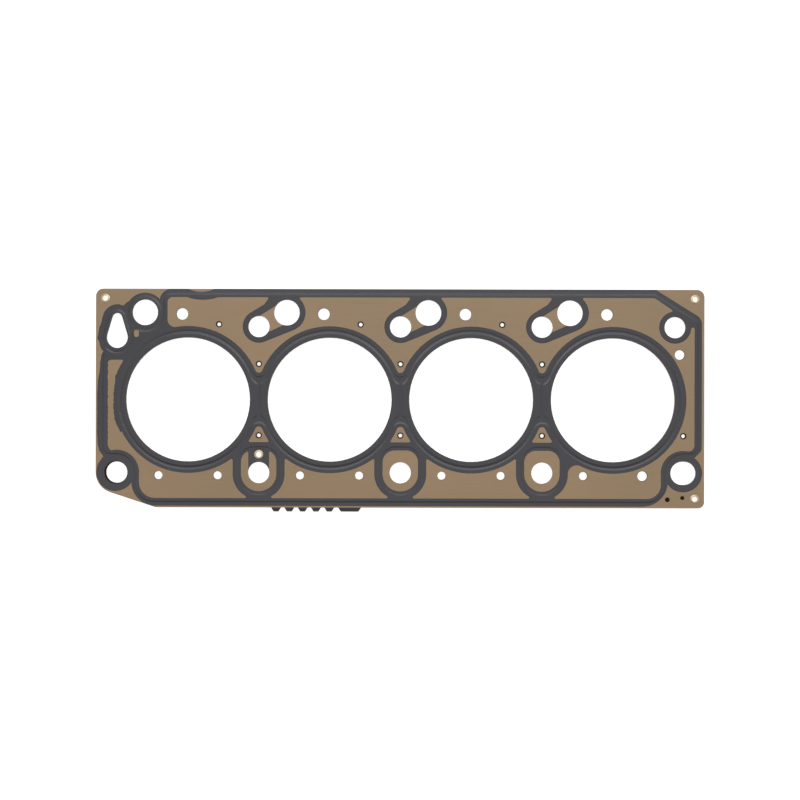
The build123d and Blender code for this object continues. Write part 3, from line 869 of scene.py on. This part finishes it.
# %% The room
LAMP_SHARE = 0.16  # of the light on a flat face, the rest being the room's
ROOM_GAIN = 1.24  # makes up, on flat faces, for the dim corners and side
ROOM = [(-1, 0.55), (-0.5, 0.2), (-0.33, 0.25), (-0.21, 1.3), (-0.11, 1.45), (0.0, 1.1), (0.07, 0.65)]
ROOM += [(0.17, 0.7), (0.24, 1.5), (0.3, 1.9), (0.36, 0.8), (0.44, 0.3), (0.65, 0.5), (1, 1.2)]
CORNER_FROM, CORNER_TO = 0.3, 0.8  # parts of straight left or right
CORNER_DIM = 0.6
world = bpy.data.worlds.new("studio")
bpy.context.scene.world = world
world.use_nodes = True
tree = world.node_tree
tree.nodes.clear()
light_path = add_node(tree, "ShaderNodeLightPath")
ray = add_node(tree, "ShaderNodeTexCoord")
ray_parts = add_node(tree, "ShaderNodeSeparateXYZ", links={0: ray.outputs["Generated"]})
across = add_node(
    tree, "ShaderNodeMapRange", {"From Min": -1.0, "From Max": 1.0}, {"Value": ray_parts.outputs["Y"]}
)
room = add_node(tree, "ShaderNodeValToRGB", links={0: across.outputs["Result"]})
stops = room.color_ramp.elements
while len(stops) < len(ROOM):
    stops.new(0.5)
for stop, (side, level) in zip(stops, ROOM):
    stop.position = (side + 1) / 2
    stop.color = (level, level, level, 1)
aside = add_node(tree, "ShaderNodeMath", links={0: ray_parts.outputs["X"]}, operation="ABSOLUTE")
corner = add_node(
    tree,
    "ShaderNodeMapRange",
    {"From Min": CORNER_FROM, "From Max": CORNER_TO, "To Min": 1.0, "To Max": CORNER_DIM},
    {"Value": aside.outputs[0]},
)
share = add_node(
    tree,
    "ShaderNodeMapRange",
    {"To Min": (1 - LAMP_SHARE) * ROOM_GAIN, "To Max": 1.0},
    {"Value": light_path.outputs["Is Glossy Ray"]},
)
cornered = add_node(
    tree, "ShaderNodeMath", links={0: room.outputs["Color"], 1: corner.outputs["Result"]}, operation="MULTIPLY"
)
room_light = add_node(
    tree, "ShaderNodeMath", links={0: cornered.outputs[0], 1: share.outputs["Result"]}, operation="MULTIPLY"
)
seen = add_node(
    tree,
    "ShaderNodeMath",
    links={0: light_path.outputs["Is Camera Ray"], 1: light_path.outputs["Is Transmission Ray"]},
    operation="MAXIMUM",
)
even = add_node(tree, "ShaderNodeBackground", {"Color": WHITE}, {"Strength": room_light.outputs[0]})
white = add_node(tree, "ShaderNodeBackground", {"Color": WHITE, "Strength": 1.0})
either = add_node(
    tree, "ShaderNodeMixShader", links={0: seen.outputs[0], 1: even.outputs[0], 2: white.outputs[0]}
)
add_node(tree, "ShaderNodeOutputWorld", links={"Surface": either.outputs[0]})
print("room levels", [level for side, level in ROOM])

# %% The lamp
LAMP_RISE = 70.0  # degrees above the gasket's plane
LAMP_AWAY = 1.6
lamp_data = bpy.data.lights.new("soft_lamp", "AREA")
lamp_data.shape = "RECTANGLE"
lamp_data.size = 1.4
lamp_data.size_y = 0.4
lamp = bpy.data.objects.new("soft_lamp", lamp_data)
bpy.context.scene.collection.objects.link(lamp)
rise = radians(LAMP_RISE)
lamp.location = (0.1, LAMP_AWAY * cos(rise), LAMP_AWAY * sin(rise))
lamp.rotation_euler = (-(pi / 2 - rise), 0, 0)
# A lamp of P watts at a distance d lights a surface with P sin(rise) / (pi d^2); pi times its share is wanted.
lamp_data.energy = LAMP_SHARE * pi * pi * LAMP_AWAY**2 / sin(rise)
print("lamp of", round(lamp_data.energy, 2), "W")

# %% [markdown]
# ## Camera
# The photograph looks straight down on the gasket, from a little under a metre. The frame is a square 542 mm wide,
# and the gasket lies a hair off level in it.

# %% Camera
FRAME_MM = 542.1
CAMERA_AWAY = 0.8
CAMERA_X_MM, CAMERA_Y_MM = -0.28, -0.09
CAMERA_ROLL = 0.00228
camera_data = bpy.data.cameras.new("camera")
camera = bpy.data.objects.new("camera", camera_data)
bpy.context.scene.collection.objects.link(camera)
camera.location = (CAMERA_X_MM * MM, CAMERA_Y_MM * MM, CAMERA_AWAY + high[2])
camera.rotation_euler = (0, 0, CAMERA_ROLL)
camera_data.sensor_width = 36.0
camera_data.lens = camera_data.sensor_width * CAMERA_AWAY / (FRAME_MM * MM)
camera_data.clip_end = 50
bpy.context.scene.camera = camera
bpy.context.scene.view_settings.view_transform = "Standard"
print("lens of", round(camera_data.lens, 1), "mm")
